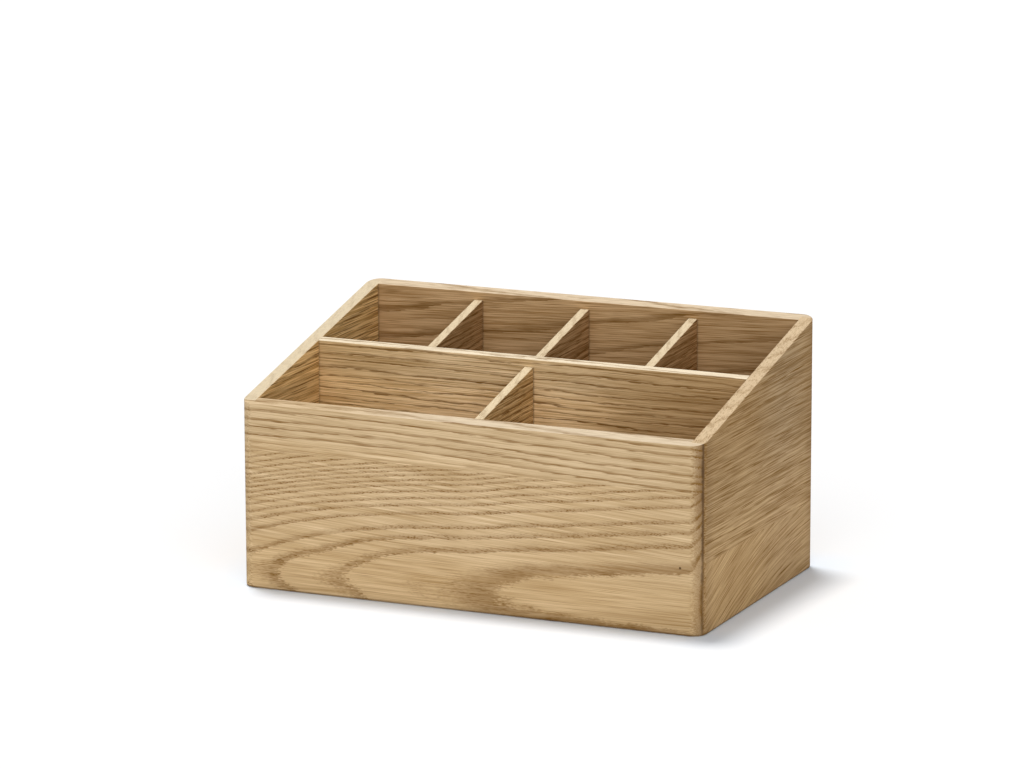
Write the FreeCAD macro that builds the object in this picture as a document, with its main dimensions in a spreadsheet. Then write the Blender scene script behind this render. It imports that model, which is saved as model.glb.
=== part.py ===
import FreeCAD, Part
import os
import Sketcher

# Driving dimensions of the organizer, in millimetres
SIZES = {
    # Outer form: the rim is one plane that climbs from the front to the back
    "overall_width": 210,
    "overall_depth": 130,
    "back_height": 110,
    "front_height": 80,
    "corner_radius": 6,
    # Outer boards, lapped at the corners and eased by hand after gluing
    "wall_thickness": 6,
    "lap_thickness": 3,
    "rim_easing": 0.4,
    "inner_rim_easing": 0.3,
    "foot_easing": 0.8,
    # Thin boards between the compartments
    "front_row_depth": 58,
    "divider_thickness": 4,
    "divider_easing": 0.4,
    "front_divider_drop": 3.3,
    "rear_divider_drop": 3.5,
    # Housings that hold the thin boards' ends
    "cross_housing_depth": 1,
    "long_housing_depth": 2,
    "long_housing_stop": 8,
    # Bottom board, let into a groove so that the box stands on its walls
    "bottom_thickness": 4,
    "bottom_groove_depth": 3,
    "bottom_recess": 3,
    # How far a cutting shape runs past the wood
    "overrun": 5,
}
LOWEST, HIGHEST = 0, -1
REAR_DIVIDERS = ("rear_divider_left", "rear_divider_middle", "rear_divider_right")

doc = FreeCAD.newDocument("pen_organizer")
sheet = doc.addObject("Spreadsheet::Sheet", "sizes")
for row, (alias, value) in enumerate(SIZES.items(), 1):
    sheet.set(f"A{row}", alias)
    sheet.set(f"B{row}", str(value))
    sheet.setAlias(f"B{row}", alias)
doc.recompute()

# Places that follow from the driving dimensions
LEFT = "(-sizes.overall_width / 2)"
RIGHT = "(sizes.overall_width / 2)"
FRONT = "(-sizes.overall_depth / 2)"
BACK = "(sizes.overall_depth / 2)"
INNER_LEFT = f"({LEFT} + sizes.wall_thickness)"
INNER_RIGHT = f"({RIGHT} - sizes.wall_thickness)"
INNER_FRONT = f"({FRONT} + sizes.wall_thickness)"
INNER_BACK = f"({BACK} - sizes.wall_thickness)"
INNER_WIDTH = f"({INNER_RIGHT} - {INNER_LEFT})"
LONG_FRONT = f"({INNER_FRONT} + sizes.front_row_depth)"
LONG_BACK = f"({LONG_FRONT} + sizes.divider_thickness)"
BOTTOM_TOP = "(sizes.bottom_recess + sizes.bottom_thickness)"
ABOVE = "(sizes.back_height + sizes.overrun)"
SLOPE = "((sizes.back_height - sizes.front_height) / sizes.overall_depth)"


def rim(place, drop="0"):
    """Height of the rim plane at a place along the depth, less a drop"""
    return f"(sizes.front_height + ({place} - {FRONT}) * {SLOPE} - {drop})"


def number(expression):
    """Value of an expression on the sheet"""
    return float(sheet.evalExpression(expression))


def outline(body, role, corners):
    """Closed outline on one of a body's own planes, each corner placed by two expressions"""
    plane = next(item for item in body.Origin.OriginFeatures if item.Role == role)
    sketch = body.newObject("Sketcher::SketchObject", f"{body.Name}_outline")
    sketch.AttachmentSupport = [(plane, "")]
    sketch.MapMode = "FlatFace"
    points = [FreeCAD.Vector(number(across), number(up), 0) for across, up in corners]
    for start, end in zip(points, points[1:] + points[:1]):
        sketch.addGeometry(Part.LineSegment(start, end))
    for line, (corner, point) in enumerate(zip(corners, points)):
        following = (line + 1) % len(points)
        sketch.addConstraint(Sketcher.Constraint("Coincident", line, 2, following, 1))
        for kind, expression, value in zip(("DistanceX", "DistanceY"), corner, point):
            place = sketch.addConstraint(Sketcher.Constraint(kind, -1, 1, line, 1, value))
            sketch.setExpression(f"Constraints[{place}]", expression)
    return sketch


def rectangle(body, role, low, high):
    """Rectangular outline between two corners"""
    return outline(body, role, [low, (high[0], low[1]), high, (low[0], high[1])])


def pad(body, sketch, length, side="One side"):
    """Thicken an outline into wood"""
    feature = body.newObject("PartDesign::Pad", f"{body.Name}_pad")
    feature.Profile = sketch
    feature.SideType = side
    feature.setExpression("Length", length)
    doc.recompute()
    return feature


def cut_through(body, sketch):
    """Cut an outline right through the wood, both ways from its plane"""
    before = body.Shape.Volume
    feature = body.newObject("PartDesign::Pocket", f"{body.Name}_cut")
    feature.Profile = sketch
    feature.SideType = "Symmetric"
    feature.Type = "ThroughAll"
    doc.recompute()
    if body.Shape.Volume >= before:
        raise RuntimeError(f"{feature.Name} cuts nothing")
    return feature


def cut_to_rim(body):
    """Plane the top of a body down to the slope of the rim"""
    ends = f"({FRONT} - sizes.overrun)", f"({BACK} + sizes.overrun)"
    return cut_through(body, outline(body, "YZ_Plane", [
        (ends[0], rim(ends[0])),
        (ends[1], rim(ends[1])),
        (ends[1], f"({rim(ends[1])} + sizes.overrun)"),
        (ends[0], f"({rim(ends[1])} + sizes.overrun)"),
    ]))


def ease(body, edges, radius):
    """Round some edges of a body"""
    base = body.Tip
    names = [
        f"Edge{place}" for place, edge in enumerate(base.Shape.Edges, 1)
        if any(edge.isSame(chosen) for chosen in edges)
    ]
    feature = body.newObject("PartDesign::Fillet", f"{body.Name}_easing")
    feature.Base = (base, names)
    feature.setExpression("Radius", radius)
    doc.recompute()
    return feature


def top_face(body):
    """Highest face of a body"""
    return max(body.Tip.Shape.Faces, key=lambda face: face.CenterOfMass.z)


def ring_edges(body, place, outer):
    """Outer or inner edges of the lowest or highest face that runs right round the box"""
    rings = [face for face in body.Tip.Shape.Faces if len(face.Wires) > 1]
    face = sorted(rings, key=lambda ring: ring.CenterOfMass.z)[place]
    return [edge for wire in face.Wires if wire.isSame(face.OuterWire) == outer for edge in wire.Edges]


def longest_pair(face):
    """The two long edges of a narrow face"""
    return sorted(face.Edges, key=lambda edge: edge.Length)[-2:]


def block(name, low, high):
    """Straight block between two corners, each given as three expressions"""
    piece = doc.addObject("Part::Box", name)
    for axis, side, start, end in zip("xyz", ("Length", "Width", "Height"), low, high):
        piece.setExpression(side, f"{end} - {start}")
        piece.setExpression(f"Placement.Base.{axis}", start)
    return piece


def joined(name, pieces):
    """Several cutting shapes as one"""
    result = doc.addObject("Part::MultiFuse", name)
    result.Shapes = pieces
    return result


def combined(kind, name, base, tool):
    """Part::Cut or Part::Common of two pieces"""
    result = doc.addObject(kind, name)
    result.Base = base
    result.Tool = tool
    result.Refine = True
    return result


def make_walls():
    """The four outer boards in one: glued up, planed to the slope, rounded and eased"""
    walls = doc.addObject("PartDesign::Body", "walls")
    pad(walls, rectangle(walls, "XY_Plane", (LEFT, FRONT), (RIGHT, BACK)), "sizes.back_height")
    corners = [edge for edge in walls.Tip.Shape.Edges if edge.Curve.Direction.z != 0]
    ease(walls, corners, "sizes.corner_radius")
    cut_through(walls, rectangle(
        walls, "XY_Plane", (INNER_LEFT, INNER_FRONT), (INNER_RIGHT, INNER_BACK)))
    cut_to_rim(walls)
    ease(walls, ring_edges(walls, HIGHEST, outer=True), "sizes.rim_easing")
    ease(walls, ring_edges(walls, HIGHEST, outer=False), "sizes.inner_rim_easing")
    ease(walls, ring_edges(walls, LOWEST, outer=True), "sizes.foot_easing")
    return walls


def make_bottom():
    """Bottom board, with all four edges in the walls' groove"""
    groove = "sizes.bottom_groove_depth"
    return block(
        "bottom_panel",
        (f"({INNER_LEFT} - {groove})", f"({INNER_FRONT} - {groove})", "sizes.bottom_recess"),
        (f"({INNER_RIGHT} + {groove})", f"({INNER_BACK} + {groove})", BOTTOM_TOP))


def make_long_board():
    """Thin board from side to side, its top in the rim's slope, with a stopped tongue at each end"""
    board = doc.addObject("PartDesign::Body", "long_board")
    tongue_left = f"({INNER_LEFT} - sizes.long_housing_depth)"
    tongue_right = f"({INNER_RIGHT} + sizes.long_housing_depth)"
    tongue_top = rim(LONG_FRONT, "sizes.long_housing_stop")
    sketch = outline(board, "XZ_Plane", [
        (tongue_left, BOTTOM_TOP),
        (tongue_right, BOTTOM_TOP),
        (tongue_right, tongue_top),
        (INNER_RIGHT, tongue_top),
        (INNER_RIGHT, ABOVE),
        (INNER_LEFT, ABOVE),
        (INNER_LEFT, tongue_top),
        (tongue_left, tongue_top),
    ])
    sketch.setExpression("AttachmentOffset.Base.z", f"-{LONG_BACK}")
    pad(board, sketch, "sizes.divider_thickness")
    cut_to_rim(board)
    ease(board, longest_pair(top_face(board)), "sizes.divider_easing")
    return board


def make_cross_board(name, across, front, back, drop):
    """Thin board from front to back, parallel to the rim and a drop below it, ends in housings"""
    board = doc.addObject("PartDesign::Body", name)
    start = f"({front} - sizes.cross_housing_depth)"
    end = f"({back} + sizes.cross_housing_depth)"
    pad(board, outline(board, "YZ_Plane", [
        (start, BOTTOM_TOP),
        (end, BOTTOM_TOP),
        (end, rim(end, drop)),
        (start, rim(start, drop)),
    ]), "sizes.divider_thickness", "Symmetric")
    ease(board, longest_pair(top_face(board)), "sizes.divider_easing")
    board.setExpression("Placement.Base.x", across)
    return board


def make_rear_boards():
    """Cross boards of the rear row, which part it into equal compartments"""
    pitch = f"({INNER_WIDTH} + sizes.divider_thickness) / {len(REAR_DIVIDERS) + 1}"
    return [
        make_cross_board(
            name, f"{place - (len(REAR_DIVIDERS) - 1) / 2} * {pitch}",
            LONG_BACK, INNER_BACK, "sizes.rear_divider_drop")
        for place, name in enumerate(REAR_DIVIDERS)
    ]


def make_side_stock(name, left, right):
    """Full-height stock of a side board, whose ends stop at the laps of the front and back"""
    return block(
        name,
        (left, f"({FRONT} + sizes.lap_thickness)", "0"),
        (right, f"({BACK} - sizes.lap_thickness)", ABOVE))


def make_end_stock(name, front, back):
    """Full-width, full-height stock of the front or back board"""
    return block(name, (LEFT, front, "0"), (RIGHT, back, ABOVE))


def shaped_board(name, walls, stock, fitted):
    """Outer board: its stock shaped as part of the walls, with a recess for each fitted piece"""
    shaped = combined("Part::Common", f"{name}_shaped", walls, stock)
    return combined("Part::Cut", name, shaped, joined(f"{name}_recesses", fitted))


walls = make_walls()
bottom_panel = make_bottom()
long_board = make_long_board()
front_divider = make_cross_board(
    "front_divider", "0", INNER_FRONT, LONG_FRONT, "sizes.front_divider_drop")
rear_dividers = make_rear_boards()
left_stock = make_side_stock("left_stock", LEFT, INNER_LEFT)
right_stock = make_side_stock("right_stock", INNER_RIGHT, RIGHT)
front_stock = make_end_stock("front_stock", FRONT, INNER_FRONT)
back_stock = make_end_stock("back_stock", INNER_BACK, BACK)

side_stock = [left_stock, right_stock]
pieces = [
    shaped_board("front_panel", walls, front_stock, side_stock + [bottom_panel, front_divider]),
    shaped_board("back_panel", walls, back_stock, side_stock + [bottom_panel] + rear_dividers),
    shaped_board("left_side_panel", walls, left_stock, [bottom_panel, long_board]),
    shaped_board("right_side_panel", walls, right_stock, [bottom_panel, long_board]),
    bottom_panel,
    combined("Part::Cut", "long_divider", long_board,
             joined("long_divider_housings", [front_divider] + rear_dividers)),
    front_divider,
] + rear_dividers
doc.recompute()

for item in doc.Objects:
    if "Invalid" in item.State or "Error" in item.State:
        raise RuntimeError(f"{item.Label} failed: {item.State}")
for piece in pieces:
    if piece.Shape.isNull() or not piece.Shape.isValid() or len(piece.Shape.Solids) != 1:
        raise RuntimeError(f"{piece.Label} is not one valid solid")

os.makedirs("parts", exist_ok=True)
for piece in pieces:
    piece.Shape.exportStep(f"parts/{piece.Label}.step")
    print(f"{piece.Label}: {piece.Shape.Volume:.0f} cubic millimetres")
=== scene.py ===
import math

import bpy
from mathutils import Matrix, Vector

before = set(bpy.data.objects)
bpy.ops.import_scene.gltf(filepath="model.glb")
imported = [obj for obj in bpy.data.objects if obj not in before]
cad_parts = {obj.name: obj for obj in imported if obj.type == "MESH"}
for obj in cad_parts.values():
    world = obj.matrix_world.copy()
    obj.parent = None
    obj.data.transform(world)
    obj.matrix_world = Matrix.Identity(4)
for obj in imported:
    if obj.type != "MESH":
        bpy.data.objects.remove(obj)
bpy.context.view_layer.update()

# Sizes of the organizer, in millimetres, as the part's source has them
HALF_WIDTH = 105.0
HALF_DEPTH = 65.0
WALL = 6.0
LAP_PLANE = 62.0
DIVIDER = 4.0
FLOOR_BOARD_TOP = 7.0
LONG_DIVIDER_FRONT = -1.0
FRONT_DIVIDER_TOP = 91.4
REAR_DIVIDER_TOP = 105.1
REAR_DIVIDER_PITCH = 50.5
MM = 1000.0
X_AXIS, Y_AXIS, Z_AXIS = range(3)

# The photograph's camera, in millimetres and radians
IMAGE_WIDTH = 1024
FOCAL_PIXELS = 5126.697
CAMERA_PLACE = Vector((856.883, -1941.529, 552.127))
CAMERA_YAW = 0.41917286
CAMERA_PITCH = 0.21715957
CAMERA_ROLL = -0.00249707
SENSOR_WIDTH = 36.0
CAMERA_REACH = 50.0

# Studio light: shares of the light that a white card would send back
SKY_LEVEL = 0.32
KEY_LEVEL = 0.68
KEY_FROM = Vector((-0.165, 0.12, 1.0))
KEY_SPREAD = math.radians(12)
FILL_LEVEL = 0.475
FILL_FROM = Vector((0.34, -0.80, 0.46))
FILL_SPREAD = math.radians(70)
FLOOR_SHADE = (0.84, 0.84, 0.84, 1.0)
FLOOR_SEEN = (0.856, 0.858, 0.862, 1.0)
FLOOR_NEAR = (0.805, 0.852, 0.912, 1.0)
FLOOR_NEAR_REACH = 32.0
FLOOR_SIZE = 12.0
FLOOR_DROP = 0.0001

# Oak colours
PALE_OAK = (0.70, 0.515, 0.305, 1.0)
HONEY_OAK = (0.38, 0.238, 0.100, 1.0)
UMBER_PORE = (0.20, 0.098, 0.022, 1.0)
# Thirsty end grain, also the colour of painted shade on the front's right end
END_OAK = (0.19, 0.098, 0.034, 1.0)
# Dark lines of the lap and the knot, also the colour of painted shade in inner corners and along the foot
DARK_LINE_AND_SHADE = (0.10, 0.055, 0.025, 1.0)
OAK_SHEEN = 0.08
PORE_RELIEF = 0.0001

# Stains multiplied into each board's oak; the front's pale glow patch and the golden inside of the side
# boards are painted light
FRONT_PLAIN = (1.06, 1.08, 1.10, 1.0)
FRONT_LOW = (1.015, 1.01, 0.975, 1.0)
FRONT_GLOW = (1.12, 1.165, 1.24, 1.0)
SIDE_PLAIN = (0.98, 0.91, 0.77, 1.0)
SIDE_WARM = (1.03, 0.91, 0.70, 1.0)
SIDE_COOL = (0.98, 0.92, 0.82, 1.0)
# Painted bounce light on the inner faces of the side boards
SIDE_INSIDE_BOUNCE_LIGHT = (1.34, 1.27, 1.01, 1.0)
BACK_STAIN = (0.95, 0.86, 0.77, 1.0)
LONG_LEFT = (1.11, 1.09, 0.99, 1.0)
LONG_MIDDLE = (1.06, 1.09, 1.10, 1.0)
LONG_RIGHT = (1.09, 1.03, 0.91, 1.0)
# The front divider paler and the rear dividers darker than the other boards
FRONT_DIVIDER_PALER = (1.18, 1.12, 0.94, 1.0)
REAR_DIVIDERS_DARKER = (0.78, 0.66, 0.55, 1.0)
BOTTOM_STAIN = (0.96, 0.93, 0.88, 1.0)

# Colours of the top edges: sanded oak, paler partly as painted light, where the upward faces catch the most
# light
FRONT_RIM = (0.67, 0.55, 0.395, 1.0)
RIGHT_RIM = (0.665, 0.515, 0.335, 1.0)
LEFT_RIM = (0.735, 0.633, 0.453, 1.0)
BACK_RIM = (0.70, 0.585, 0.425, 1.0)
LONG_RIM = (0.82, 0.708, 0.53, 1.0)
CROSS_RIM = (0.71, 0.588, 0.40, 1.0)
BOTTOM_RIM = (0.72, 0.585, 0.420, 1.0)

# Ring radii of the front board's two staves, in millimetres
CATHEDRAL_RINGS = (57.0, 59.98, 62.3, 64.1, 65.8, 68.5, 70.4, 72.0, 73.7, 75.4, 76.7, 78.1,
                   79.4, 80.6, 82.0, 83.8, 85.7, 87.6, 89.6, 91.6)
RIFT_RINGS = (54.3, 57.7, 60.5, 63.3, 66.5, 69.8, 73.0, 77.0, 80.8, 83.8, 87.3)
WIDEST_RING = 6.0
RING_STEP = 0.001

# Heights where staves are glued to each other, and the place of the dark dot on the front board
FRONT_JOINT = 60.2
SIDE_JOINTS = (30.0, 81.0)
KNOT_RUN = 95.5
KNOT_HEIGHT = 28.5

# Where along its log each board's pattern starts, so that no two are alike
LOG_BOTTOM = 900.0
LOG_RIGHT = 1000.0
LOG_LEFT = 1700.0
LOG_BACK = 2300.0
LOG_LONG = 2900.0
LOG_FRONT_DIVIDER = 3300.0
LOG_REAR_DIVIDERS = (3700.0, 4100.0, 4500.0)


class Amount:
    """A number that varies over a surface: a node's output, used in plain Python sums."""

    def __init__(self, recipe, socket):
        self.recipe = recipe
        self.socket = socket

    def maths(self, operation, *terms):
        return self.recipe.node("ShaderNodeMath", {"operation": operation}, dict(enumerate(terms)))

    def __add__(self, other):
        return self.maths("ADD", self, other)

    def __radd__(self, other):
        return self.maths("ADD", other, self)

    def __sub__(self, other):
        return self.maths("SUBTRACT", self, other)

    def __rsub__(self, other):
        return self.maths("SUBTRACT", other, self)

    def __mul__(self, other):
        return self.maths("MULTIPLY", self, other)

    def __rmul__(self, other):
        return self.maths("MULTIPLY", other, self)

    def __truediv__(self, other):
        return self.maths("DIVIDE", self, other)

    def __abs__(self):
        return self.maths("ABSOLUTE", self)

    def root(self):
        return self.maths("SQRT", self)

    def part(self):
        return self.maths("FRACT", self)

    def least(self, other):
        return self.maths("MINIMUM", self, other)

    def most(self, other):
        return self.maths("MAXIMUM", self, other)


class Recipe:
    """The nodes of one finish."""

    def __init__(self, tree):
        self.tree = tree
        self.tree.nodes.clear()

    def node(self, kind, settings, inputs, output=0):
        """Adds a node: its settings first, then the values or links of its sockets."""
        made = self.tree.nodes.new(kind)
        for key, value in settings.items():
            if key == "points":
                curve = made.mapping.curves[0]
                while len(curve.points) < len(value):
                    curve.points.new(0.5, 0.5)
                for point, place in zip(curve.points, value):
                    point.location = place
                    point.handle_type = "VECTOR"
                made.mapping.update()
            else:
                setattr(made, key, value)
        for key, value in inputs.items():
            if isinstance(value, Amount):
                self.tree.links.new(value.socket, made.inputs[key])
            else:
                made.inputs[key].default_value = value
        return Amount(self, made.outputs[output]) if made.outputs else None

    def smooth(self, value, low, high):
        """0 below low, 1 above high, and a smooth rise between them."""
        sockets = {"Value": value, "From Min": low, "From Max": high}
        return self.node("ShaderNodeMapRange", {"interpolation_type": "SMOOTHSTEP"}, sockets)

    def place(self, *sides):
        """A vector from three amounts."""
        return self.node("ShaderNodeCombineXYZ", {}, dict(enumerate(sides)))

    def noise(self, at, detail=2.0, roughness=0.5):
        """Soft noise about zero, from -1 to 1, one unit of its place to a lump."""
        sockets = {"Vector": at, "Scale": 1.0, "Detail": detail, "Roughness": roughness}
        return self.node("ShaderNodeTexNoise", {}, sockets) * 2 - 1

    def cells(self, at):
        """Distance from the middle of the nearest cell."""
        return self.node("ShaderNodeTexVoronoi", {}, {"Vector": at, "Scale": 1.0, "Randomness": 0.85})

    def colours(self, kind, share, under, over):
        """Two colours mixed by a share."""
        settings = {"data_type": "RGBA", "blend_type": kind, "clamp_factor": True}
        return self.node("ShaderNodeMix", settings, {0: share, 6: under, 7: over}, 2)

    def grey(self, value):
        """An amount as a grey colour."""
        return self.node("ShaderNodeCombineColor", {}, {0: value, 1: value, 2: value})


def object_place(recipe):
    """The three coordinates of a point of the part, in millimetres."""
    coordinates = recipe.node("ShaderNodeTexCoord", {}, {}, "Object")
    sides = []
    for side in range(3):
        metres = recipe.node("ShaderNodeSeparateXYZ", {}, {0: coordinates}, side)
        sides.append(metres * MM)
    return sides


def facing(recipe, axis):
    """The part of the surface normal that lies along an axis, without its sign."""
    normal = recipe.node("ShaderNodeNewGeometry", {}, {}, "Normal")
    return abs(recipe.node("ShaderNodeSeparateXYZ", {}, {0: normal}, axis))


def ring_depth(recipe, radius, rings):
    """How far outward a point lies from the start of its own growth ring, in millimetres."""
    start = rings[0]
    span = rings[-1] - start
    last = len(rings) - 1
    counts = [((ring - start) / span, index / last) for index, ring in enumerate(rings)]
    widths = []
    for inner, outer in zip(rings, rings[1:]):
        widths.append(((inner - start) / span, (outer - inner) / WIDEST_RING))
        widths.append(((outer - start) / span - RING_STEP, (outer - inner) / WIDEST_RING))
    share = (radius - start) / span
    count = recipe.node("ShaderNodeFloatCurve", {"points": counts}, {"Value": share}) * last
    width = recipe.node("ShaderNodeFloatCurve", {"points": widths}, {"Value": share}) * WIDEST_RING
    return count.part() * width


def wander(recipe, run, depth, height, reach, stretch, size):
    """How far a ring strays from its even path, in millimetres."""
    at = recipe.place(run / (reach * stretch), depth / reach, height / reach)
    return recipe.noise(at, 1.0) * size


def swell(recipe, run, rise, middle, reach, spread):
    """A rounded patch, 1 in its middle, where the rings stray from their even path."""
    along = 1 - recipe.smooth(abs(run - middle), 0.0, reach)
    return along * (1 - recipe.smooth(abs(rise), 0.0, spread))


def cathedral_stave(recipe, run, depth, height):
    """Lower stave of the front board: flat-sawn, its rings closing to points at the left."""
    left = run.least(0.0)
    right = run.most(0.0)
    heart = 8 + right * 0.05 + recipe.smooth(run, 0.0, 30.0) * 1.2
    taper = left * 1.3 - left * left * 0.038 + right * 1.2 + right * right * 0.002
    rise = height - heart
    blunt = swell(recipe, run, rise, -58.0, 34.0, 24.0) * 80
    blunt = blunt + swell(recipe, run, rise, 0.0, 36.0, 14.0) * 41
    blunt = blunt + swell(recipe, run, height, -50.0, 30.0, 13.0) * 30
    blunt = blunt - swell(recipe, run, rise, -66.0, 40.0, 13.0) * 44
    blunt = blunt - swell(recipe, run, rise, -106.0, 18.0, 15.0) * 95
    blunt = blunt + (1 - recipe.smooth(abs(run - 42), 0.0, 44.0)) * recipe.smooth(rise, 8.0, 22.0) * 45
    spread = (rise * rise - taper + blunt) / (1 + run * 0.003)
    inward = 60 - depth * (0.2 + recipe.smooth(run, -60.0, 60.0) * 0.4)
    radius = (spread + inward * inward).most(1.0).root()
    radius = radius + wander(recipe, run, depth, height, 3.0, 3.0, 0.20)
    away = recipe.smooth(abs(rise), 9.0, 22.0)
    ragged = (1 - away) * (0.12 + 0.25 * (1 - recipe.smooth(run, -40.0, -10.0)))
    radius = radius + wander(recipe, run, depth, height, 0.40, 5.0, 0.16 + ragged)
    inner = recipe.smooth(run, -20.0, 25.0) * (1 - recipe.smooth(rise, 14.0, 20.0))
    patch = swell(recipe, run, rise, -8.0, 26.0, 14.0)
    tip = (1 - recipe.smooth(run, -84.0, -70.0)) * (1 - recipe.smooth(abs(rise), 6.0, 14.0))
    return {"ring": ring_depth(recipe, radius, CATHEDRAL_RINGS), "grain": 1.3, "late": 0.0,
            "band": 0.85 + away * 0.30 + inner * 0.6 + tip * 0.35 - patch * 0.35,
            "dark": 1.0 - inner * 0.15, "bead": 0.45 + away * 0.10 - inner * 0.20, "dash": 4.0 - away * 2.5,
            "tone": 1.0 - recipe.smooth(run, 40.0, 100.0) * 0.05,
            "lean": height + run * 0.06 * recipe.smooth(height, 10.0, 38.0), "shift": 0.0}


def rift_stave(recipe, run, depth, height):
    """Upper stave of the front board: long dark lines that sink a little to the right."""
    level = height + recipe.smooth(run, -50.0, 105.0) * 5.9 + depth * 0.2
    dark = 0.34 + recipe.smooth(level, 64.5, 66.5) * 0.62
    level = level + wander(recipe, run, depth, height, 6.0, 3.0, 0.6)
    level = level + wander(recipe, run, depth, height, 0.40, 26.0, 1.1)
    strip = (1 - recipe.smooth(height, 63.0, 68.0)) * (1 - recipe.smooth(run, 10.0, 50.0))
    tone = 0.93 - recipe.smooth(run, -90.0, 100.0) * 0.03 + strip * 0.07
    return {"ring": ring_depth(recipe, level, RIFT_RINGS), "band": 1.3, "dark": dark, "bead": 0.25,
            "dash": 12.0, "late": 0.20, "tone": tone, "grain": 1.4,
            "lean": height + run * 0.03, "shift": 400.0}


def straight_stave(recipe, run, depth, height, shift, slope=0.0, bend=0.0, tilt=0.0, start=0.0, width=2.5,
                   cut=0.5, band=0.9, dark=0.6, bead=0.5, dash=6.0, tone=1.0, stray=1.6, grain=1.0):
    """A stave whose rings rise along the board by a slope and a bend, its fibres by a tilt and the bend."""
    aside = height + shift
    bowed = height + run * run * bend
    level = bowed - run * slope + depth * cut - start
    level = level + wander(recipe, run, depth, aside, 8.0, 9.0, stray * 1.6)
    level = level + wander(recipe, run, depth, aside, 3.0, 5.0, stray * 0.5)
    level = level + wander(recipe, run, depth, aside, 0.5, 12.0, 0.7)
    ring = (level / width).part() * width
    return {"ring": ring, "band": band, "dark": dark, "bead": bead, "dash": dash, "late": 0.0,
            "tone": tone, "lean": bowed - run * tilt, "shift": shift, "grain": grain}


def join(lower, upper, mask):
    """Two staves side by side: the mask is 1 on the upper one."""
    return {key: lower[key] + (upper[key] - lower[key]) * mask for key in lower}


def early_wood(recipe, stave, along, depth):
    """The porous start of each ring, and the vessels that dot it."""
    lean = stave["lean"]
    bands = stave["ring"] / stave["band"]
    patches = recipe.noise(recipe.place(along / (16 + stave["dash"] * 2), depth / 2.2, lean / 2.2), 1.0)
    early = recipe.smooth(stave["ring"], 0.0, 0.18) * (1 - recipe.smooth(bands, 0.25, 1.0))
    cells = recipe.cells(recipe.place(along / stave["dash"], depth / 0.5, lean / 0.5))
    return early * (0.85 + patches * 0.7), 1 - recipe.smooth(cells, 0.22, 0.52)


def fine_lines(recipe, lean, along, depth, reach, size, hair, streak, specks):
    """Thin dark lines along the fibres: short hairs, long streaks and, on some boards, crisp specks."""
    inward = depth / size
    upward = lean / size
    hairs = recipe.noise(recipe.place(along / reach / 12, inward / 0.4, upward / 0.4), 1.0)
    streaks = recipe.noise(recipe.place(along / 55, inward / 0.6, upward / 0.38), 1.0)
    lines = recipe.smooth(hairs, 0.12, 0.50) * hair + recipe.smooth(streaks, 0.12, 0.50) * streak
    if specks:
        cells = recipe.cells(recipe.place(along / 30, depth / 0.8, lean / 0.75))
        lines = lines + (1 - recipe.smooth(cells, 0.20, 0.36)) * specks
    return lines


def fibre_tone(recipe, stave, along, depth, reach, size):
    """How far the wood between the pores is from pale to honey, and the fibres in it."""
    lean = stave["lean"]
    inward = depth / size
    upward = lean / size
    threads = recipe.noise(recipe.place(along / reach / 18, inward / 0.26, upward / 0.26), 1.0)
    fibres = recipe.noise(recipe.place(along / reach / 32, inward / 0.5, upward / 0.5), 2.0, 0.6)
    strands = recipe.noise(recipe.place(along / 70, depth / 1.6, lean / 1.6), 2.0, 0.5)
    clouds = recipe.noise(recipe.place(along / 60, depth / 30, lean / 16), 2.0, 0.5)
    body = 0.46 + (threads * 0.55 + fibres * 0.45 + strands * 0.32) * stave["grain"] + clouds * 0.30
    late = recipe.smooth(stave["ring"] / stave["band"], 0.9, 1.5) * stave["late"]
    return body - late, fibres


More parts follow.
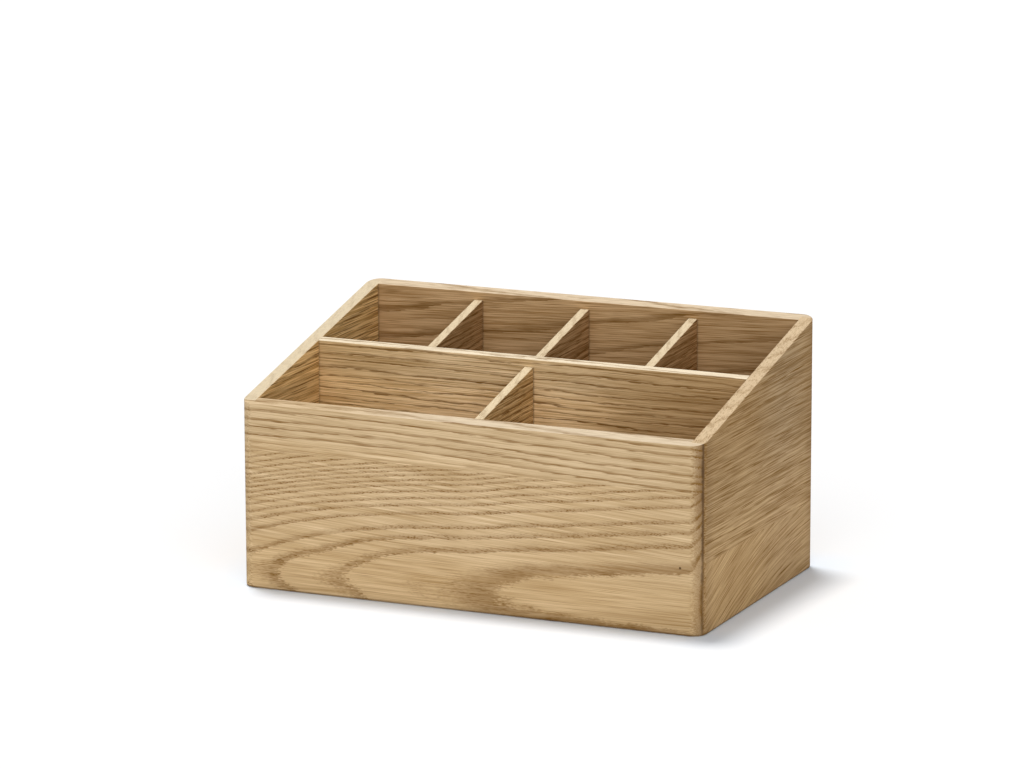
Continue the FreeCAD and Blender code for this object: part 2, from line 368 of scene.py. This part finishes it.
def oak_board(recipe, stave, run, depth, fibre_axis, board_tint, rim, sanded_and_lit=0.75, hair=0.22, streak=0.10,
              ends=0.6, thirst=0.0, line=0.0, reach=1.0, size=1.0, specks=0.0, rim_pores=1.0):
    """Oak from its growth rings, pores and fibres, with thirsty ends and a paler top edge that is partly
    sanded oak and partly painted light.
    """
    along = run + stave["shift"]
    early, vessels = early_wood(recipe, stave, along, depth)
    lines = fine_lines(recipe, stave["lean"], along, depth, reach, size, hair, streak, specks)
    body, fibres = fibre_tone(recipe, stave, along, depth, reach, size)
    top = recipe.smooth(facing(recipe, Z_AXIS), 0.35, 0.85)
    edge = top * (1 - top) * 4
    end = recipe.smooth(facing(recipe, fibre_axis), 0.0, 0.90) * ends
    rings = early * (1 - stave["bead"] + vessels * stave["bead"]) * stave["dark"] * (1 + end * 0.9)
    sanded_pore = (rings * 0.50 + lines * 0.40 + vessels * 0.16) * rim_pores
    pore = (rings + lines) * (1 - top) + sanded_pore * top
    wood = recipe.colours("MIX", body, PALE_OAK, HONEY_OAK)
    wood = recipe.colours("MULTIPLY", 1.0, wood, board_tint)
    wood = recipe.colours("MULTIPLY", 1.0, wood, recipe.grey(stave["tone"]))
    # Upward faces and eased edges take the rim colour: sanded oak, and partly painted light.
    wood = recipe.colours("MIX", top * sanded_and_lit + edge * 0.2, wood, rim)
    # Dark ends: thirsty end grain, and on the front's right end partly painted shade.
    wood = recipe.colours("MIX", end.most(thirst) * (1 - top), wood, END_OAK)
    wood = recipe.colours("MIX", pore, wood, UMBER_PORE)
    # Dark lines: the lap line and the knot, and painted shade in inner corners and along the foot.
    wood = recipe.colours("MIX", (1 - top) * line, wood, DARK_LINE_AND_SHADE)
    rough = 0.60 + pore * 0.22 + fibres * 0.06 - edge * 0.08
    relief = 0.5 - vessels * early * 0.5 - lines * 0.3
    bump = recipe.node("ShaderNodeBump", {}, {"Strength": 0.5, "Distance": PORE_RELIEF, "Height": relief})
    sockets = {"Base Color": wood, "Roughness": rough, "Normal": bump, "Specular IOR Level": OAK_SHEEN}
    board = recipe.node("ShaderNodeBsdfPrincipled", {}, sockets)
    recipe.node("ShaderNodeOutputMaterial", {}, {"Surface": board})


def corner_line(recipe, across, along, height):
    """The dark line where a lapped corner shows on the outside."""
    uneven = recipe.noise(recipe.place(across / 9, along / 9, height / 4), 3.0, 0.6)
    near = 1 - recipe.smooth(abs(abs(along) - LAP_PLANE - uneven * 0.3) - uneven * 0.6, 0.10, 0.90)
    dark = 0.45 + recipe.smooth(height, 14.0, 42.0) * 0.40 + uneven * 0.30
    return near * recipe.smooth(abs(across), HALF_WIDTH - WALL + 1.0, HALF_WIDTH - WALL + 2.0) * dark


def joint_and_corner_shade(recipe, along, height, places, divider_top, inner_half, face):
    """Dark lines on the face of a board, beside the dividers that meet it and in its inner corners: partly
    the joint line, partly painted shade where the parts meet.
    """
    dark = recipe.smooth(abs(along), inner_half - 1.0, inner_half) * 0.7
    for place in places:
        beside = 1 - recipe.smooth(abs(along - place), DIVIDER / 2, DIVIDER / 2 + 0.9)
        dark = dark.most(beside * (1 - recipe.smooth(height, divider_top - 0.3, divider_top)))
    return dark * face * recipe.smooth(height, FLOOR_BOARD_TOP - 0.1, FLOOR_BOARD_TOP) * 0.6


def painted_foot_shadow(recipe, height):
    """Painted contact shadow: a dark line along the eased lower edge, where the board meets the desk."""
    return (1 - recipe.smooth(height, 0.3, 1.1)) * 0.8


def new_finish(name):
    """A new material, and the recipe for its nodes."""
    material = bpy.data.materials.new(name)
    material.use_nodes = True
    return material, Recipe(material.node_tree)


def front_oak():
    """The front board: two staves, one above the other, and one small dark dot."""
    material, recipe = new_finish("oak_front_board")
    run, across, height = object_place(recipe)
    depth = across + HALF_DEPTH
    lower = cathedral_stave(recipe, run, depth, height)
    upper = rift_stave(recipe, run, depth, height)
    staves = join(lower, upper, recipe.smooth(height, FRONT_JOINT - 0.05, FRONT_JOINT + 0.05))
    knot = recipe.place(run - KNOT_RUN, 0.0, height - KNOT_HEIGHT)
    away = recipe.node("ShaderNodeVectorMath", {"operation": "LENGTH"}, {0: knot}, 1)
    dot = 1 - recipe.smooth(away, 0.3, 0.7)
    line = corner_line(recipe, run, across, height).most(dot)
    # How far the top takes the rim colour, partly painted light: more towards the right.
    sanded_and_lit = 0.20 + recipe.smooth(run, -75.0, 0.0) * 0.65
    # Darker right end: thirsty end grain, and painted shade on the right corner, which faces away from the
    # key light.
    ends = recipe.smooth(run, -60.0, 60.0) * (0.55 + recipe.smooth(height, 35.0, 60.0) * 0.25)
    low = 1 - recipe.smooth(height, 12.0, 34.0)
    # A paler, cooler patch across the middle of the front: painted light.
    glow = swell(recipe, run, height - 44, -5.0, 80.0, 32.0)
    board_tint = recipe.colours("MIX", low, FRONT_PLAIN, FRONT_LOW)
    board_tint = recipe.colours("MIX", glow, board_tint, FRONT_GLOW)
    # The front's dark lines take in the painted contact shadow along the foot.
    oak_board(recipe, staves, run, depth, X_AXIS, board_tint, FRONT_RIM, sanded_and_lit, hair=0.30, streak=0.22,
              ends=ends, line=line.most(painted_foot_shadow(recipe, height)), reach=1.5, rim_pores=1.5)
    return material


def side_oak(name, outer, shift, rim, rim_pores):
    """A side board of three staves, browner outside than inside, the paler gold inside being painted bounce
    light, and darker towards the top as painted shade. Its outer face is at x = outer.
    """
    material, recipe = new_finish(name)
    across, run, height = object_place(recipe)
    depth = abs(across - outer)
    inside = recipe.smooth(depth, WALL - 0.15, WALL - 0.05)
    low_tone = 0.965 - recipe.smooth(run, -50.0, 60.0) * 0.09
    # The inner face is raised as painted bounce light; the middle stave darkens upwards as painted shade.
    middle_tone = (1.10 - recipe.smooth(height, 28.0, 82.0) * 0.30) * (0.80 + inside * 0.32)
    high_tone = 0.66 + inside * 0.44
    low = straight_stave(recipe, run, depth, height, shift, slope=0.26, bend=0.0016, tilt=0.26, width=2.3,
                         cut=1.2, dark=0.35, tone=low_tone, grain=1.7)
    middle = straight_stave(recipe, run, depth, height, shift + 130, slope=-0.015, tilt=-0.01, width=2.1,
                            cut=0.3, dark=0.45, tone=middle_tone, grain=2.6)
    high = straight_stave(recipe, run, depth, height, shift + 270, slope=0.01, width=3.6, cut=0.4, band=1.4,
                          dark=0.75, bead=0.3, dash=14.0, tone=high_tone, grain=2.6)
    staves = low
    for joint, stave in zip(SIDE_JOINTS, (middle, high)):
        staves = join(staves, stave, recipe.smooth(height, joint - 0.1, joint + 0.1))
    # Painted shade in the inner corners and painted contact shadow along the foot join the lap line.
    corner_shade = joint_and_corner_shade(recipe, run, height, [], 0.0, HALF_DEPTH - WALL, inside)
    line = corner_line(recipe, across, run, height).most(corner_shade).most(painted_foot_shadow(recipe, height))
    behind = LAP_PLANE - abs(run)
    thirst = (1 - recipe.smooth(behind, 0.0, 12.0)) * 0.36 + (1 - recipe.smooth(behind, 0.0, 1.6)) * 0.30
    board_tint = recipe.colours("MIX", recipe.smooth(height, 45.0, 80.0), SIDE_PLAIN, SIDE_WARM)
    board_tint = recipe.colours("MIX", 1 - recipe.smooth(abs(run - 28), 0.0, 45.0), board_tint, SIDE_COOL)
    # Painted bounce light: the inner face paler and more golden.
    board_tint = recipe.colours("MIX", inside, board_tint, SIDE_INSIDE_BOUNCE_LIGHT)
    oak_board(recipe, staves, run, depth, Y_AXIS, board_tint, rim, hair=0.40, streak=0.55,
              thirst=thirst * (1 - inside), line=line, reach=1.6, size=1.45, specks=0.75,
              rim_pores=rim_pores)
    return material


def back_oak():
    """The back board: one stave of wide rings that rise towards the right side board."""
    material, recipe = new_finish("oak_back_board")
    run, across, height = object_place(recipe)
    depth = HALF_DEPTH - across
    tone = 1.0 - recipe.smooth(run, 20.0, 100.0) * 0.15
    stave = straight_stave(recipe, run, depth - WALL, height, LOG_BACK, slope=0.145, tilt=0.04, start=98.0,
                           width=12.7, cut=1.5, band=3.2, dark=0.85, bead=0.3, dash=8.0, tone=tone,
                           stray=2.0, grain=2.2)
    inside = recipe.smooth(depth, WALL - 0.15, WALL - 0.05)
    places = [-REAR_DIVIDER_PITCH, 0.0, REAR_DIVIDER_PITCH]
    # Painted shade beside the rear dividers and in the inner corners, and painted contact shadow along the
    # foot, join the lap line.
    corner_shade = joint_and_corner_shade(recipe, run, height, places, REAR_DIVIDER_TOP, HALF_WIDTH - WALL, inside)
    line = corner_line(recipe, run, across, height).most(corner_shade).most(painted_foot_shadow(recipe, height))
    oak_board(recipe, stave, run, depth, X_AXIS, BACK_STAIN, BACK_RIM, hair=0.70, streak=0.75,
              line=line, reach=1.3, rim_pores=1.5)
    return material


def long_divider_oak():
    """The thin board from side to side, darker at its right end."""
    material, recipe = new_finish("oak_long_divider")
    run, across, height = object_place(recipe)
    depth = across - LONG_DIVIDER_FRONT
    tone = 1.03 + recipe.smooth(run, -85.0, -20.0) * 0.18 - recipe.smooth(run, 5.0, 65.0) * 0.36
    low = (1 - recipe.smooth(height, 77.5, 84.5)) * (1 - recipe.smooth(run, 20.0, 60.0))
    tone = tone + low * 0.30
    stave = straight_stave(recipe, run, depth, height, LOG_LONG, slope=-0.01, width=3.3, cut=0.5, band=1.1,
                           dark=0.95, bead=0.15, dash=22.0, tone=tone, stray=1.8, grain=2.2)
    front = 1 - recipe.smooth(depth, 0.05, 0.15)
    # Painted shade beside the front divider and in the inner corners.
    line = joint_and_corner_shade(recipe, run, height, [0.0], FRONT_DIVIDER_TOP, HALF_WIDTH - WALL, front)
    inward = recipe.smooth(run, -85.0, -30.0)
    board_tint = recipe.colours("MIX", inward, LONG_LEFT, LONG_MIDDLE)
    board_tint = recipe.colours("MIX", recipe.smooth(run, 10.0, 65.0), board_tint, LONG_RIGHT)
    oak_board(recipe, stave, run, depth, X_AXIS, board_tint, LONG_RIM, 0.9, hair=0.35, streak=0.90,
              line=line, reach=1.3, rim_pores=1.4)
    return material


def cross_oak(name, middle, shift, board_tint):
    """A short board that runs from front to back, with its middle at x = middle."""
    material, recipe = new_finish(name)
    across, run, height = object_place(recipe)
    depth = across - (middle - DIVIDER / 2)
    stave = straight_stave(recipe, run, depth, height, shift, slope=0.04, tilt=0.03, width=2.8, band=1.3,
                           dark=1.0, bead=0.2, dash=5.0, grain=3.0)
    oak_board(recipe, stave, run, depth, Y_AXIS, board_tint, CROSS_RIM, 0.85, hair=1.2, streak=0.6,
              rim_pores=0.6)
    return material


def bottom_oak():
    """The bottom board, with the same finish above and below."""
    material, recipe = new_finish("oak_bottom_board")
    run, height, depth = object_place(recipe)
    stave = straight_stave(recipe, run, depth, height, LOG_BOTTOM, slope=0.02, tilt=0.02, width=3.2,
                           dark=0.6, tone=0.96)
    oak_board(recipe, stave, run, depth, X_AXIS, BOTTOM_STAIN, BOTTOM_RIM, 0.0, hair=0.4, streak=0.3)
    return material


def dress(node, material):
    """Gives a board its finish, in place of the one that it came with."""
    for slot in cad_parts[node].material_slots:
        slot.material = material


def dress_boards():
    """Gives each of the ten boards its own oak."""
    dress("front_panel", front_oak())
    dress("right_side_panel", side_oak("oak_right_board", HALF_WIDTH, LOG_RIGHT, RIGHT_RIM, 1.1))
    dress("left_side_panel", side_oak("oak_left_board", -HALF_WIDTH, LOG_LEFT, LEFT_RIM, 0.45))
    dress("back_panel", back_oak())
    dress("long_divider", long_divider_oak())
    dress("bottom_panel", bottom_oak())
    dress("front_divider", cross_oak("oak_front_divider", 0.0, LOG_FRONT_DIVIDER, FRONT_DIVIDER_PALER))
    middles = (-REAR_DIVIDER_PITCH, 0.0, REAR_DIVIDER_PITCH)
    for side, middle, shift in zip(("left", "middle", "right"), middles, LOG_REAR_DIVIDERS):
        name = f"rear_divider_{side}"
        dress(name, cross_oak(f"oak_{name}", middle, shift, REAR_DIVIDERS_DARKER))


def lay_floor():
    """A plain pale floor, a little cooler close to the warm boards, so that their shadow looks grey."""
    half = FLOOR_SIZE / 2
    level = -FLOOR_DROP
    corners = [(-half, -half, level), (half, -half, level), (half, half, level), (-half, half, level)]
    mesh = bpy.data.meshes.new("studio_floor")
    mesh.from_pydata(corners, [], [(0, 1, 2, 3)])
    floor = bpy.data.objects.new("studio_floor", mesh)
    bpy.context.scene.collection.objects.link(floor)
    material, recipe = new_finish("studio_paper")
    run, across = object_place(recipe)[:2]
    beside = (abs(run) - HALF_WIDTH).most(0.0)
    before = (abs(across) - HALF_DEPTH).most(0.0)
    near = 1 - recipe.smooth((beside * beside + before * before).root(), 0.0, FLOOR_NEAR_REACH)
    seen = recipe.node("ShaderNodeLightPath", {}, {}, "Is Camera Ray")
    shade = recipe.colours("MIX", near, FLOOR_SEEN, FLOOR_NEAR)
    shade = recipe.colours("MIX", seen, FLOOR_SHADE, shade)
    paper = recipe.node("ShaderNodeBsdfDiffuse", {}, {"Color": shade})
    recipe.node("ShaderNodeOutputMaterial", {}, {"Surface": paper})
    mesh.materials.append(material)


def hang_lamp(name, level, come_from, spread):
    """A broad soft lamp, far away."""
    lamp = bpy.data.lights.new(name, "SUN")
    lamp.energy = level * math.pi
    lamp.angle = spread
    piece = bpy.data.objects.new(name, lamp)
    piece.rotation_euler = come_from.to_track_quat("Z", "Y").to_euler()
    bpy.context.scene.collection.objects.link(piece)


def light_studio():
    """A soft key overhead, a broad fill in front, and an even sky that the camera sees as white."""
    world = bpy.data.worlds.new("studio_sky")
    bpy.context.scene.world = world
    world.use_nodes = True
    recipe = Recipe(world.node_tree)
    seen = recipe.node("ShaderNodeLightPath", {}, {}, "Is Camera Ray")
    mirrored = recipe.node("ShaderNodeLightPath", {}, {}, "Is Glossy Ray")
    through = recipe.node("ShaderNodeLightPath", {}, {}, "Is Transmission Ray")
    white = seen.most(mirrored).most(through)
    strength = SKY_LEVEL + white * (1 - SKY_LEVEL)
    sky = recipe.node("ShaderNodeBackground", {}, {"Color": (1.0, 1.0, 1.0, 1.0), "Strength": strength})
    recipe.node("ShaderNodeOutputWorld", {}, {"Surface": sky})
    hang_lamp("soft_key", KEY_LEVEL, KEY_FROM, KEY_SPREAD)
    hang_lamp("soft_fill", FILL_LEVEL, FILL_FROM, FILL_SPREAD)


def set_camera():
    """Stands the camera where the photograph was taken from."""
    flat = math.cos(CAMERA_PITCH)
    ahead = Vector((-math.sin(CAMERA_YAW) * flat, math.cos(CAMERA_YAW) * flat, -math.sin(CAMERA_PITCH)))
    right = Vector((math.cos(CAMERA_YAW), math.sin(CAMERA_YAW), 0.0))
    up = right.cross(ahead)
    turned = right * math.cos(CAMERA_ROLL) + up * math.sin(CAMERA_ROLL)
    upright = up * math.cos(CAMERA_ROLL) - right * math.sin(CAMERA_ROLL)
    data = bpy.data.cameras.new("photo_camera")
    data.sensor_fit = "HORIZONTAL"
    data.sensor_width = SENSOR_WIDTH
    data.lens = FOCAL_PIXELS * SENSOR_WIDTH / IMAGE_WIDTH
    data.clip_end = CAMERA_REACH
    camera = bpy.data.objects.new("photo_camera", data)
    axes = Matrix((turned, upright, -ahead)).transposed()
    camera.matrix_world = Matrix.Translation(CAMERA_PLACE / MM) @ axes.to_4x4()
    bpy.context.scene.collection.objects.link(camera)
    bpy.context.scene.camera = camera


dress_boards()
lay_floor()
light_studio()
set_camera()
bpy.context.scene.view_settings.view_transform = "Standard"
